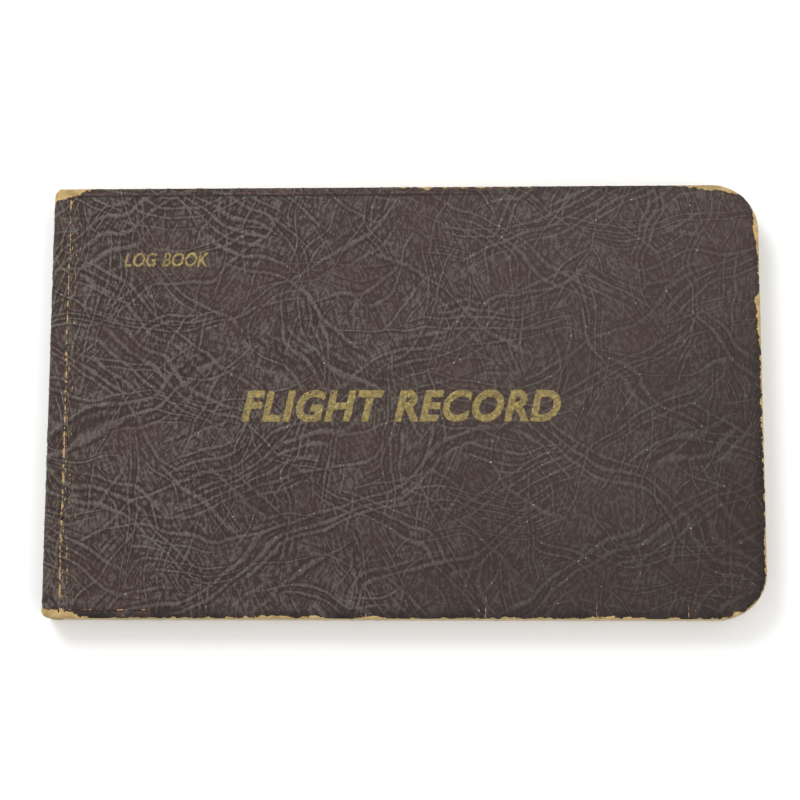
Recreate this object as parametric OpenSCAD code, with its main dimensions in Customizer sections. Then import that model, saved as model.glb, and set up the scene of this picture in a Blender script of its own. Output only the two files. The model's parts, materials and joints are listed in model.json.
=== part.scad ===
// Oblong logbook with a flexible wrap-round cover, side wire-stitched
// X runs from the spine to the fore edge, Y from tail to head, Z up; the back cover lies on Z = 0

/* [Cover] */
// Length of the closed book, spine to fore edge
cover_l = 216; // [150:1:300]
// Height of the page, tail to head
cover_w = 132; // [110:1:220]
// Radius of the two fore-edge corners
fore_r = 14; // [6:0.5:25]
// Radius of the two worn spine corners, seen from above
spine_corner_r = 3; // [1:0.25:5]
// Outer radius of the folds where the cover goes round the spine
fold_r = 2.2; // [1.6:0.1:3]
// Width of the fixed strip between the spine edge and the hinge crease
crease_w = 5.6; // [5:0.1:12]
// Width of the scored crease itself
score_w = 0.3; // [0.2:0.05:0.6]
// Height of each hinge line outside the cover's outer face
hinge_rise = 0.3; // [0.2:0.05:0.6]

/* [Layers] */
// Thickness of the coated skin
skin_t = 0.3; // [0.2:0.05:0.5]
// Thickness of the tan card
board_t = 0.8; // [0.5:0.05:1.2]
// Thickness of the paper lining pasted inside each cover
pastedown_t = 0.12; // [0.08:0.01:0.2]
// Free space between a cover's lining and the nearest leaf
cover_gap = 0.08; // [0.05:0.01:0.2]
// Thickness of the cloth round the back of the leaves
cloth_t = 0.2; // [0.1:0.05:0.3]
// Thickness of the glue between cloth and leaves
glue_t = 0.3; // [0.1:0.05:0.6]

/* [Leaves] */
// Thickness of one leaf
leaf_t = 0.085; // [0.06:0.005:0.12]
// Air between two leaves
leaf_gap = 0.02; // [0.015:0.005:0.04]
// Leaves in each lot of log leaves
lot_leaves = 4; // [2:1:6]
// How far the cover stands past the leaves on the three open sides
square_w = 1; // [0.5:0.25:4]

/* [Stitches] */
// Diameter of the stitching wire
wire_d = 0.6; // [0.4:0.05:0.8]
// Length of a stitch over its two legs
stitch_l = 12; // [8:0.5:16]
// Length of each bent-over leg end
clinch_l = 4; // [2:0.25:5]
// Distance between neighbouring stitches
stitch_pitch = 44; // [24:1:44]
// Clearance round the wire
wire_clear = 0.05; // [0.02:0.01:0.1]

/* [Hidden] */
$fn = 96;
eps = 0.01;
back_x = -cover_l / 2;
front_x = cover_l / 2;
hinge_x = back_x + crease_w;
strip_x = hinge_x - score_w / 2;
free_x = hinge_x + score_w / 2;
// leaves in each lot, from the front of the book to the back
LOTS = concat([1, 1], [for (i = [1:14]) lot_leaves], [lot_leaves, 1]);
leaf_pitch = leaf_t + leaf_gap;
// leaves that lie in front of lot n
function leaves_before(n) = n == 0 ? 0 : LOTS[n - 1] + leaves_before(n - 1);
leaf_count = leaves_before(len(LOTS));
cover_t = skin_t + board_t;
lining_t = cover_t + pastedown_t;
book_t = 2 * (lining_t + cover_gap) + leaf_count * leaf_pitch - leaf_gap;
leaf_top = book_t - lining_t - cover_gap;
margin_depth = cover_t + cloth_t;
stub_x = back_x + margin_depth + glue_t;
wire_r = wire_d / 2;
groove_r = wire_r + wire_clear;
stitch_x = (stub_x + strip_x) / 2;
leg_y = stitch_l / 2 - wire_r;
crown_z = book_t - margin_depth - groove_r;
clinch_z = margin_depth + groove_r;

// rounded rectangle of the whole closed book, drawn in by inset on every side
module book_outline(inset) {
    spine_r = max(spine_corner_r - inset, eps);
    corner_r = fore_r - inset;
    half_w = cover_w / 2 - inset;
    x0 = back_x + inset;
    x1 = front_x - inset;
    translate([x0 + spine_r, -half_w]) square([x1 - corner_r - x0 - spine_r, 2 * half_w]);
    translate([x0, -half_w + spine_r]) square([spine_r + eps, 2 * (half_w - spine_r)]);
    translate([x1 - corner_r - eps, -half_w + corner_r]) square([corner_r + eps, 2 * (half_w - corner_r)]);
    for (side = [-1, 1]) {
        translate([x0 + spine_r, side * (half_w - spine_r)]) circle(spine_r);
        translate([x1 - corner_r, side * (half_w - corner_r)]) circle(corner_r);
    }
}

// the part of the outline that turns on the hinge crease
module free_outline(inset) {
    intersection() {
        book_outline(inset);
        translate([free_x, -cover_w]) square([cover_l, 2 * cover_w]);
    }
}

// end view of the fixed part, drawn in by depth, with its two soft folds; x runs right and y is height
module fold_profile(depth) {
    r = max(fold_r - depth, 0.3);
    x0 = back_x + depth;
    translate([x0 + r, depth]) square([strip_x - x0 - r, book_t - 2 * depth]);
    translate([x0, depth + r]) square([r + eps, book_t - 2 * (depth + r)]);
    for (z = [depth + r, book_t - depth - r]) translate([x0 + r, z]) circle(r);
}

// the fixed part filled from one depth inwards, cut to the outline seen from above
module fixed_block(depth, inset) {
    intersection() {
        rotate([90, 0, 0]) linear_extrude(cover_w + 2, center = true) fold_profile(depth);
        translate([0, 0, -1]) linear_extrude(book_t + 2) book_outline(inset);
    }
}

// one layer of the wrap round the spine
module wrap_layer(depth, t, inset) {
    difference() {
        fixed_block(depth, inset);
        rotate([90, 0, 0]) linear_extrude(cover_w + 4, center = true) {
            fold_profile(depth + t);
            translate([strip_x - eps, depth + t]) square([1, book_t - 2 * (depth + t)]);
        }
    }
}

// one flat layer of a cover; depth is measured from the cover's outer face
module cover_layer(front, depth, t) {
    z = front ? book_t - depth - t : depth;
    translate([0, 0, z]) linear_extrude(t) free_outline(0);
}

// the separate leaves of one lot
module leaf_lot(n) {
    top = leaf_top - leaves_before(n) * leaf_pitch;
    for (i = [1:LOTS[n]]) {
        translate([0, 0, top - i * leaf_pitch + leaf_gap]) linear_extrude(leaf_t) free_outline(square_w);
    }
}

// space that a layer of the clamped block may fill, between two x values
module margin_slab(x0, x1) {
    intersection() {
        fixed_block(margin_depth, square_w);
        translate([x0, -cover_w, -1]) cube([x1 - x0, 2 * cover_w, book_t + 2]);
    }
}

// one wire stitch, or the holes and grooves that it lies in when grow is its clearance
module stitch(y, grow) {
    r = wire_r + grow;
    end_y = leg_y - clinch_l + wire_r;
    translate([stitch_x, y, 0]) {
        translate([0, 0, crown_z]) rotate([90, 0, 0]) cylinder(h = 2 * leg_y, r = r, center = true);
        for (side = [-1, 1]) {
            translate([0, side * leg_y, clinch_z]) cylinder(h = crown_z - clinch_z, r = r);
            for (z = [clinch_z, crown_z]) translate([0, side * leg_y, z]) sphere(r);
            translate([0, side * leg_y, clinch_z]) rotate([side * 90, 0, 0]) cylinder(h = leg_y - end_y + grow, r = r);
        }
    }
}

module spine_skin() { color("#4a3a36") wrap_layer(0, skin_t, 0); }
module spine_board() { color("#c3aa70") wrap_layer(skin_t, board_t, 0); }
module spine_cloth() { color("#d8d2c0") wrap_layer(cover_t, cloth_t, square_w); }
module spine_glue() { color("#e6dcb8") margin_slab(back_x + margin_depth, stub_x); }
module leaf_stubs() {
    color("#efe9d4") difference() {
        margin_slab(stub_x, strip_x);
        for (i = [-1:1]) stitch(i * stitch_pitch, wire_clear);
    }
}
module staple_head() { color("#b8babd") stitch(stitch_pitch, 0); }
module staple_middle() { color("#b8babd") stitch(0, 0); }
module staple_tail() { color("#b8babd") stitch(-stitch_pitch, 0); }
module front_skin() { color("#4a3a36") cover_layer(true, 0, skin_t); }
module front_board() { color("#c3aa70") cover_layer(true, skin_t, board_t); }
module front_pastedown() { color("#e9e0c8") cover_layer(true, cover_t, pastedown_t); }
module back_skin() { color("#4a3a36") cover_layer(false, 0, skin_t); }
module back_board() { color("#c3aa70") cover_layer(false, skin_t, board_t); }
module back_pastedown() { color("#e9e0c8") cover_layer(false, cover_t, pastedown_t); }
module front_flyleaf() { color("#e9e0c8") leaf_lot(0); }
module title_leaf() { color("#e9e0c8") leaf_lot(1); }
module log_leaves_01() { color("#efe8d2") leaf_lot(2); }
module log_leaves_02() { color("#efe8d2") leaf_lot(3); }
module log_leaves_03() { color("#efe8d2") leaf_lot(4); }
module log_leaves_04() { color("#efe8d2") leaf_lot(5); }
module log_leaves_05() { color("#efe8d2") leaf_lot(6); }
module log_leaves_06() { color("#efe8d2") leaf_lot(7); }
module log_leaves_07() { color("#efe8d2") leaf_lot(8); }
module log_leaves_08() { color("#efe8d2") leaf_lot(9); }
module log_leaves_09() { color("#efe8d2") leaf_lot(10); }
module log_leaves_10() { color("#efe8d2") leaf_lot(11); }
module log_leaves_11() { color("#efe8d2") leaf_lot(12); }
module log_leaves_12() { color("#efe8d2") leaf_lot(13); }
module log_leaves_13() { color("#efe8d2") leaf_lot(14); }
module log_leaves_14() { color("#efe8d2") leaf_lot(15); }
module endorsement_leaves() { color("#e9e0c8") leaf_lot(16); }
module back_flyleaf() { color("#e9e0c8") leaf_lot(17); }

spine_skin();
spine_board();
spine_cloth();
spine_glue();
leaf_stubs();
staple_head();
staple_middle();
staple_tail();
front_skin();
front_board();
front_pastedown();
back_skin();
back_board();
back_pastedown();
front_flyleaf();
title_leaf();
log_leaves_01();
log_leaves_02();
log_leaves_03();
log_leaves_04();
log_leaves_05();
log_leaves_06();
log_leaves_07();
log_leaves_08();
log_leaves_09();
log_leaves_10();
log_leaves_11();
log_leaves_12();
log_leaves_13();
log_leaves_14();
endorsement_leaves();
back_flyleaf();
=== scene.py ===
import functools
import json
import math

import bpy
from bpy.props import FloatProperty, FloatVectorProperty, IntProperty, PointerProperty, StringProperty
from mathutils import Matrix, Vector

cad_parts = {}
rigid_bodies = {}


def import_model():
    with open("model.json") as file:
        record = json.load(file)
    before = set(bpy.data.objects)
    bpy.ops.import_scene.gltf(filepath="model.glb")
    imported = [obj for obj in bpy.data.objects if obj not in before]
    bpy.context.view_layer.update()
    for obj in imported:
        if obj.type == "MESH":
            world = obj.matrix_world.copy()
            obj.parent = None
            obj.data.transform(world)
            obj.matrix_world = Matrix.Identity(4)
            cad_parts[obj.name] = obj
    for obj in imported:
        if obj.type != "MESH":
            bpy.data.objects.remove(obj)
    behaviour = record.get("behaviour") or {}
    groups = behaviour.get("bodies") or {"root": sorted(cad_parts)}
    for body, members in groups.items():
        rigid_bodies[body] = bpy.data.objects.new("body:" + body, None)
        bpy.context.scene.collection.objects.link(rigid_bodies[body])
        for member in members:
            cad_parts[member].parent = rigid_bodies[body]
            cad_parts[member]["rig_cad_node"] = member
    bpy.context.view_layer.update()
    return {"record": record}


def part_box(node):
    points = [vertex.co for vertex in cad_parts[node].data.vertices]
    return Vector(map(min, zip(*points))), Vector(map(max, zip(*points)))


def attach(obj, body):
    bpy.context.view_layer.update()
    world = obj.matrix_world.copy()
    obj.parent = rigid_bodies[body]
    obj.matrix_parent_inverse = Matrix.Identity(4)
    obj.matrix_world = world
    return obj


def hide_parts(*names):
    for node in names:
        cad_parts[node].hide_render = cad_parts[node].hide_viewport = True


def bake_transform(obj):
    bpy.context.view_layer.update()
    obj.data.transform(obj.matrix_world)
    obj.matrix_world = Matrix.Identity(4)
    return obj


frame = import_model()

bl_info = {
    "name": "Pilot Logbook",
    "version": (1, 0, 0),
    "blender": (4, 5, 0),
    "location": "View3D > Sidebar > Logbook",
    "description": "Covers, leaves and foil of an oblong flexible-cover logbook",
    "category": "Object",
}

MM = 0.001
SKIN_ARC, PLAIN_ARC = 44, 24  # steps round a fore-edge corner, on the skin and on the layers under it
PLAIN_STEP = 4 * MM  # mesh step of the layers under the skin
MAX_SINK = 0.21 * MM  # the skin's face may sink this far, which is less than the skin is thick
WHOLE_SKIN = -3 * MM  # 'wear' where the skin is whole
LEAF_STEP = 14 * MM  # mesh step of a leaf beyond its bend
LEAF_BENDS = 20  # mesh steps within a leaf's bend
FOIL_LIFT, FOIL_T = 0.012 * MM, 0.02 * MM  # how far the foil lies above the skin, and its thickness
TITLE_AT, SMALL_AT = (-0.0005, -0.0021), (-0.0725, 0.0435)  # centres of the words


# ---------------------------------------------------------------- places taken from the CAD frame

def joint_place(name):
    """Point on a hinge line at rest, in metres."""
    for joint in frame["record"]["behaviour"]["joints"]:
        if joint["name"] == name:
            return joint["pos_m"]
    raise RuntimeError(f"no joint {name}")


SPINE_LOW, SPINE_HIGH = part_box("spine_skin")
FRONT_LOW, FRONT_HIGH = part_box("front_skin")
CARD_LOW, CARD_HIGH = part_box("front_board")
LINING_LOW, LINING_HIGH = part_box("front_pastedown")
LEAF_LOW, LEAF_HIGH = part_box("front_flyleaf")
BACK_X = SPINE_LOW[0]
FRONT_X = FRONT_HIGH[0]
HALF_W = FRONT_HIGH[1]
BOOK_T = FRONT_HIGH[2]
SKIN_T = FRONT_HIGH[2] - FRONT_LOW[2]
CARD_T = CARD_HIGH[2] - CARD_LOW[2]
LINING_T = LINING_HIGH[2] - LINING_LOW[2]
LEAF_T = LEAF_HIGH[2] - LEAF_LOW[2]
HINGE_X = joint_place("front_cover_hinge")[0]
STRIP_X = SPINE_HIGH[0]
BEND_X = HINGE_X - 0.0006  # where a cover starts to bend, on the spine side of the crease
BEND_W = 0.002  # width of that bend
LINING_X = HINGE_X - 0.0001  # where the linings start
FORE_R = 0.014  # radius of the covers' rounded corners, as in the part
SQUARE_W = HALF_W - LEAF_HIGH[1]


def linear(hex_colour):
    """sRGB hex to the linear colour that shaders take."""
    parts = [int(hex_colour[i:i + 2], 16) / 255 for i in (1, 3, 5)]
    return tuple(c / 12.92 if c <= 0.04045 else ((c + 0.055) / 1.055) ** 2.4 for c in parts)


# ---------------------------------------------------------------- what a user may change

def length(name, description, default, low, high):
    """A length that a user may change, in metres."""
    return FloatProperty(name=name, description=description, default=default, min=low, max=high, unit="LENGTH")


def tint(name, description, hex_colour):
    """A colour that a user may change."""
    return FloatVectorProperty(name=name, description=description, default=linear(hex_colour), min=0, max=1,
                               subtype="COLOR", size=3)


class LogbookCoverSizes(bpy.types.PropertyGroup):
    fore_r: length("Fore-edge corner radius", "Radius of the two die-cut corners", FORE_R, 0.004, 0.03)
    spine_corner_r: length(
        "Spine corner radius", "Radius of the two worn corners at the spine, seen from above",
        0.003, 0.0005, 0.008)
    fold_r: length(
        "Spine fold radius", "Outer radius where the skin goes round the spine",
        0.0022, 0.001, 0.004)
    grid: length(
        "Skin mesh step", "Spacing of the mesh that carries the pressed creases",
        0.00072, 0.0003, 0.004)
    crease_relief: length(
        "Crease relief", "Height of the long pressed creases above the ground of the skin",
        0.00016, 0.0, 0.0003)
    band_w: length("Edge band", "Width of the bent-down band along head and tail", 0.0022, 0.0005, 0.006)
    skin_low: tint("Skin valleys", "Brown between the creases", "#33211e")
    # the grey of the ridges is partly rubbed wear and partly a painted highlight
    skin_high: tint("Skin ridges", "Rubbed grey brown on the creases", "#5b544d")
    # soiling and painted shade: the darkening stands in partly for light falling off towards the tail and fore
    # edge
    soil_and_shade: FloatProperty(
        name="Soiling", description="How dark the handled tail and fore edge have gone",
        default=0.52, min=0, max=1)
    card: tint("Card", "Tan card that shows where the skin is gone", "#a88e5e")


class LogbookLeafSizes(bpy.types.PropertyGroup):
    bend_w: length(
        "Leaf bend", "Width near the stitches over which a leaf bends as it turns",
        0.014, 0.004, 0.04)
    row_h: length("Row height", "Spacing of the ruled entry lines", 0.0075, 0.004, 0.015)
    paper: tint("Paper", "Aged ledger paper", "#e9e0c6")
    ruling: tint("Ruling", "Ink of the ruled lines", "#7f9c8c")


class LogbookFoilSizes(bpy.types.PropertyGroup):
    title: StringProperty(
        name="Title", description="Generic words across the middle of the cover", default="FLIGHT RECORD")
    title_w: length("Title width", "Length of the title", 0.0965, 0.02, 0.18)
    title_h: length("Title height", "Height of the title's capitals", 0.0099, 0.003, 0.02)
    small: StringProperty(
        name="Small words", description="Generic words near the head and the spine", default="LOG BOOK")
    small_w: length("Small width", "Length of the small words", 0.026, 0.01, 0.08)
    small_h: length("Small height", "Height of the small capitals", 0.0045, 0.002, 0.012)
    title_bold: FloatProperty(
        name="Title weight", description="Growth of the strokes, as a share of the letter size",
        default=0.042, min=0, max=0.1)
    small_bold: FloatProperty(
        name="Small weight", description="Growth of the strokes, as a share of the letter size",
        default=0.022, min=0, max=0.1)
    slant: FloatProperty(name="Slant", description="Lean of the letters", default=0.24, min=-1, max=1)
    foil: tint("Foil", "Dulled gold foil", "#877545")


class LogbookStageSizes(bpy.types.PropertyGroup):
    distance: length("Camera distance", "From the lens to the cover", 0.61, 0.2, 3)
    tilt: FloatProperty(
        name="Camera tilt", description="Lean away from straight above, towards the tail",
        default=math.radians(9.5), min=0, max=1.5, subtype="ANGLE")
    side_tilt: FloatProperty(
        name="Camera side tilt", description="Lean away from straight above, towards the fore edge",
        default=math.radians(2.25), min=-1.0, max=1.0, subtype="ANGLE")
    roll: FloatProperty(
        name="Camera roll", description="Turn about the view axis", default=math.radians(-0.14),
        min=-0.2, max=0.2, subtype="ANGLE")
    lens: FloatProperty(
        name="Lens", description="Focal length on a 36 mm sensor, in millimetres",
        default=91.0, min=20, max=200)
    floor: tint("Floor", "Plain pale floor", "#f5f5f4")
    seed: IntProperty(
        name="Seed", description="Fixed seed of the small irregularities", default=7, min=0, max=1000)


TRIM = 0.0028  # share by which a leaf may fall short of the page outline


# ---------------------------------------------------------------- nodes

SMOOTH = {"interpolation_type": "SMOOTHSTEP"}
FLAT = {"noise_dimensions": "2D"}
COLOUR = {"data_type": "RGBA"}
TIMES = {"operation": "MULTIPLY"}
TIMES_PLUS = {"operation": "MULTIPLY_ADD"}
PLUS = {"operation": "ADD"}
MINUS = {"operation": "SUBTRACT"}
LARGER = {"operation": "MAXIMUM"}
UNSIGNED = {"operation": "ABSOLUTE"}


def fill(tree, node, inputs):
    """Sets or links inputs of a node: a row of values, or values by socket name or number.

    A node given as a value stands for its first output in use.
    """
    for key, value in inputs.items() if isinstance(inputs, dict) else enumerate(inputs):
        socket = node.inputs[key]
        if isinstance(value, bpy.types.Node):
            value = next(output for output in value.outputs if output.enabled)
        if isinstance(value, bpy.types.NodeSocket):
            tree.links.new(value, socket)
        elif socket.type == "RGBA":
            socket.default_value = (*value[:3], 1.0)
        else:
            socket.default_value = value


def add(tree, kind, inputs=(), **settings):
    """Adds one node with its settings and links. A kind written without its prefix is a shader node."""
    made = tree.nodes.new(kind if "Node" in kind else "ShaderNode" + kind)
    for key, value in settings.items():
        setattr(made, key, value)
    fill(tree, made, inputs)
    return made


def per(size_mm):
    """Pattern scale, in repeats per metre, for a feature of this size in millimetres."""
    return 1000.0 / size_mm


def patches(tree, place, size_mm, detail, levels, roughness=0.5, **settings):
    """Irregular patches about this large, with soft borders.

    levels are the noise at which they start and end, and after those the values that it turns to there.
    """
    noise = add(tree, "TexNoise", {"Vector": place, "Scale": per(size_mm), "Detail": detail,
                                   "Roughness": roughness}, **settings)
    return add(tree, "MapRange", (noise, *levels), **SMOOTH)


def crease_set(tree, place, degrees, gap_mm, ridge_mm, band_mm, length_mm, seed, share):
    """Bundles of long thin creases that run about one way, each bundle fading in and out.

    degrees is their slope on the page, gap_mm the space between neighbours, ridge_mm their width,
    band_mm and length_mm the size of a bundle; share, from 0 to 1, is how much of the page has them.
    A crease is 1 on its ridge and a little below 0 in the furrow on each side.
    """
    spun = add(tree, "VectorRotate", {"Vector": place, "Angle": -math.radians(degrees)}, rotation_type="Z_AXIS")
    moved = add(tree, "VectorMath", {0: spun, 1: (seed, seed * 0.7, 0)}, **PLUS)
    sway = add(tree, "TexNoise", {"Vector": moved, "Scale": per(36), "Detail": 2.0, "Roughness": 0.4}, **FLAT)
    parts = add(tree, "SeparateXYZ", {0: moved})
    across = add(tree, "Math", (parts.outputs[1], add(tree, "Math", (sway, 0.020), **TIMES)), **PLUS)
    rim = add(tree, "TexVoronoi", {"W": across, "Scale": per(gap_mm), "Randomness": 1.0},
              voronoi_dimensions="1D", feature="DISTANCE_TO_EDGE").outputs["Distance"]
    bent = add(tree, "CombineXYZ", {0: parts.outputs[0], 1: across})
    where = add(tree, "TexNoise", {"Vector": add(tree, "VectorMath", (bent, (band_mm / length_mm, 1.0, 1.0)),
                                                 **TIMES), "Scale": per(band_mm), "Detail": 1.0}, **FLAT)
    low = 0.64 - 0.26 * share
    half = 0.5 * ridge_mm / gap_mm
    ridge = add(tree, "Math", (add(tree, "MapRange", (rim, half, 0.15 * half), **SMOOTH),
                               add(tree, "MapRange", (rim, 2.2 * half, half, 0.0, 0.30), **SMOOTH)), **MINUS)
    return add(tree, "Math", (ridge, add(tree, "MapRange", (where, low, low + 0.10), **SMOOTH)), **TIMES)


# slope in degrees, gap, ridge width, bundle width and length in mm, seed, share of the page
CREASE_SETS = (
    (28, 3.4, 1.6, 10, 65, 0.11, 0.54), (-34, 3.6, 1.6, 10, 60, 0.37, 0.50), (84, 2.6, 1.1, 7, 40, 0.83, 0.42),
    (2, 2.8, 1.1, 6, 50, 0.59, 0.44), (58, 3.4, 1.0, 5, 30, 0.23, 0.34), (-62, 3.2, 1.0, 5, 28, 0.71, 0.34),
)


def crinkle(tree, place):
    """The pressed grain of the skin, for shader and geometry alike.

    Returns long creases and the fine wrinkles between them, each about 0 to 1. Sets of creases cross each
    other slantwise, and the fine wrinkles lean another way in each region.
    """
    creases = None
    for settings in CREASE_SETS:
        ridge = crease_set(tree, place, *settings)
        creases = ridge if creases is None else add(tree, "Math", (creases, ridge), **PLUS)
    creases = add(tree, "Math", (creases, 1.0), operation="MINIMUM")
    region = add(tree, "TexVoronoi", {"Vector": place, "Scale": per(14)}, voronoi_dimensions="2D")
    share = add(tree, "SeparateXYZ", {0: region.outputs["Color"]})
    turn = add(tree, "MapRange", (share.outputs[0], 0.0, 1.0, -0.55, 0.55), **SMOOTH)
    spun = add(tree, "VectorRotate", {"Vector": place, "Center": region.outputs["Position"], "Angle": turn},
               rotation_type="Z_AXIS")
    dash = add(tree, "TexNoise", {"Vector": add(tree, "VectorMath", (spun, (1.0, 0.33, 1.0)), **TIMES),
                                  "Scale": per(0.85), "Detail": 1.0, "Roughness": 0.4, "Distortion": 0.25},
               **FLAT)
    rung = add(tree, "TexNoise", {"Vector": add(tree, "VectorMath", (spun, (0.36, 1.0, 1.0)), **TIMES),
                                  "Scale": per(0.95), "Detail": 1.0, "Roughness": 0.4, "Distortion": 0.25},
               **FLAT)
    coarse = add(tree, "TexNoise", {"Vector": add(tree, "VectorMath", (spun, (1.0, 0.5, 1.0)), **TIMES),
                                    "Scale": per(5.0), "Detail": 1.0}, **FLAT)
    wrinkles = add(tree, "Math", (add(tree, "MapRange", (dash, 0.44, 0.575, 0.0, 0.60), **SMOOTH),
                                  add(tree, "MapRange", (rung, 0.50, 0.61, 0.0, 0.34), **SMOOTH)), **PLUS)
    wrinkles = add(tree, "Math", (wrinkles, add(tree, "MapRange", (coarse, 0.3, 0.7, -0.14, 0.14), **SMOOTH)),
                   **PLUS)
    return creases, wrinkles


def new_material(name):
    """Empty node material with its shader and output."""
    material = bpy.data.materials.new(name)
    material.use_nodes = True
    tree = material.node_tree
    tree.nodes.clear()
    shader = add(tree, "BsdfPrincipled")
    output = add(tree, "OutputMaterial", {"Surface": shader.outputs[0]})
    output.target = "ALL"
    return material, tree, shader


def sheet_place(tree):
    """Place on the unfolded sheet, in metres: x from the spine edge, y along the spine."""
    return add(tree, "Attribute", attribute_name="sheet").outputs["Vector"]


def card_colour(tree, place, card):
    """Mottled fibrous tan of worn card, dirtier in patches."""
    cloud = add(tree, "TexNoise", {"Vector": place, "Scale": per(4.0), "Detail": 5.0, "Roughness": 0.65})
    fibre = add(tree, "TexNoise", {"Vector": place, "Scale": per(0.5), "Detail": 3.0, "Roughness": 0.7})
    light = tuple(min(1.0, c * 1.25 + 0.02) for c in card)
    dark = (card[0] * 0.42, card[1] * 0.38, card[2] * 0.34)
    patch = add(tree, "MapRange", (cloud, 0.30, 0.66), **SMOOTH)
    base = add(tree, "Mix", {0: patch, 6: tuple(c * 0.74 for c in card), 7: light}, **COLOUR)
    flecks = add(tree, "MapRange", (fibre, 0.50, 0.74, 0.0, 0.75), **SMOOTH)
    return add(tree, "Mix", {0: flecks, 6: base, 7: dark}, **COLOUR)


CRACK_EDGE = (-0.00002, 0.00007)  # over how far inside its width a crack comes to full strength, metres
# cracks that run along the hinge: distance from the crease, how rare, width, length of a fleck, millimetres
HINGE_CRACKS = (
    (0.0, 0.42, 0.46, 1.7), (0.7, 0.50, 0.28, 1.5), (2.1, 0.52, 0.30, 1.6), (4.0, 0.60, 0.26, 1.5),
    (-3.9, 0.60, 0.26, 1.4),
)
# cracks that run in from the tail: distance from the spine edge, how far in, width, millimetres
TAIL_CRACKS = ((97.5, 5.0, 0.34), (133.0, 12.0, 0.34), (165.8, 13.0, 0.22), (192.7, 6.0, 0.28))


def crack_lines(tree, place, along, across, sizes):
    """Cracks through the coating, 0 to 1: broken lines beside the hinge crease, and a few in from the tail."""
    def crack(run, at, width):
        """One crack along the line where run is at, as wide as width says, in metres."""
        gap = add(tree, "Math", (add(tree, "Math", (run, at), **MINUS),), **UNSIGNED)
        inside = add(tree, "Math", (width, gap), **MINUS)
        cracks.append(add(tree, "MapRange", (inside, *CRACK_EDGE), **SMOOTH))

    cracks = []
    wander = add(tree, "TexNoise", {"Vector": place, "Scale": per(12), "Detail": 3.0}, **FLAT)
    wander = add(tree, "Math", (wander, 0.0012, -0.0006), **TIMES_PLUS)
    bent = add(tree, "Math", (along, wander), **MINUS)
    zone = patches(tree, place, 22, 1.0, (0.36, 0.54, 0.6, 1.0), **FLAT)
    for offset, rare, wide, fleck in HINGE_CRACKS:
        beat = add(tree, "TexNoise", {"Vector": place, "Scale": per(fleck), "Detail": 3.0, "Roughness": 0.7},
                   **FLAT)
        width = add(tree, "MapRange", (beat, rare, rare + 0.22, 0.0, wide * MM), **SMOOTH)
        crack(bent, HINGE_X - BACK_X + offset * MM, add(tree, "Math", (width, zone), **TIMES))
    for x_mm, deep, wide in TAIL_CRACKS:
        width = add(tree, "MapRange", (across, deep * MM - HALF_W, 1.5 * MM - HALF_W, 0.0, 0.5 * wide * MM),
                    **SMOOTH)
        beat = patches(tree, place, 1.8, 2.0, (0.34, 0.55), **FLAT)
        crack(bent, x_mm * MM, add(tree, "Math", (width, beat), **TIMES))
    # torn stitches of coating along the tail's bent-down band, next to the spine
    beat = add(tree, "TexNoise", {"Vector": place, "Scale": per(1.9), "Detail": 4.0, "Roughness": 0.75}, **FLAT)
    width = add(tree, "MapRange", (beat, 0.49, 0.66, 0.0, 0.00026), **SMOOTH)
    near_spine = add(tree, "MapRange", (along, 0.040, 0.026), **SMOOTH)
    crack(across, 1.15 * sizes.band_w - HALF_W, add(tree, "Math", (width, near_spine), **TIMES))
    return functools.reduce(lambda a, b: add(tree, "Math", (a, b), **LARGER), cracks)


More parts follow.
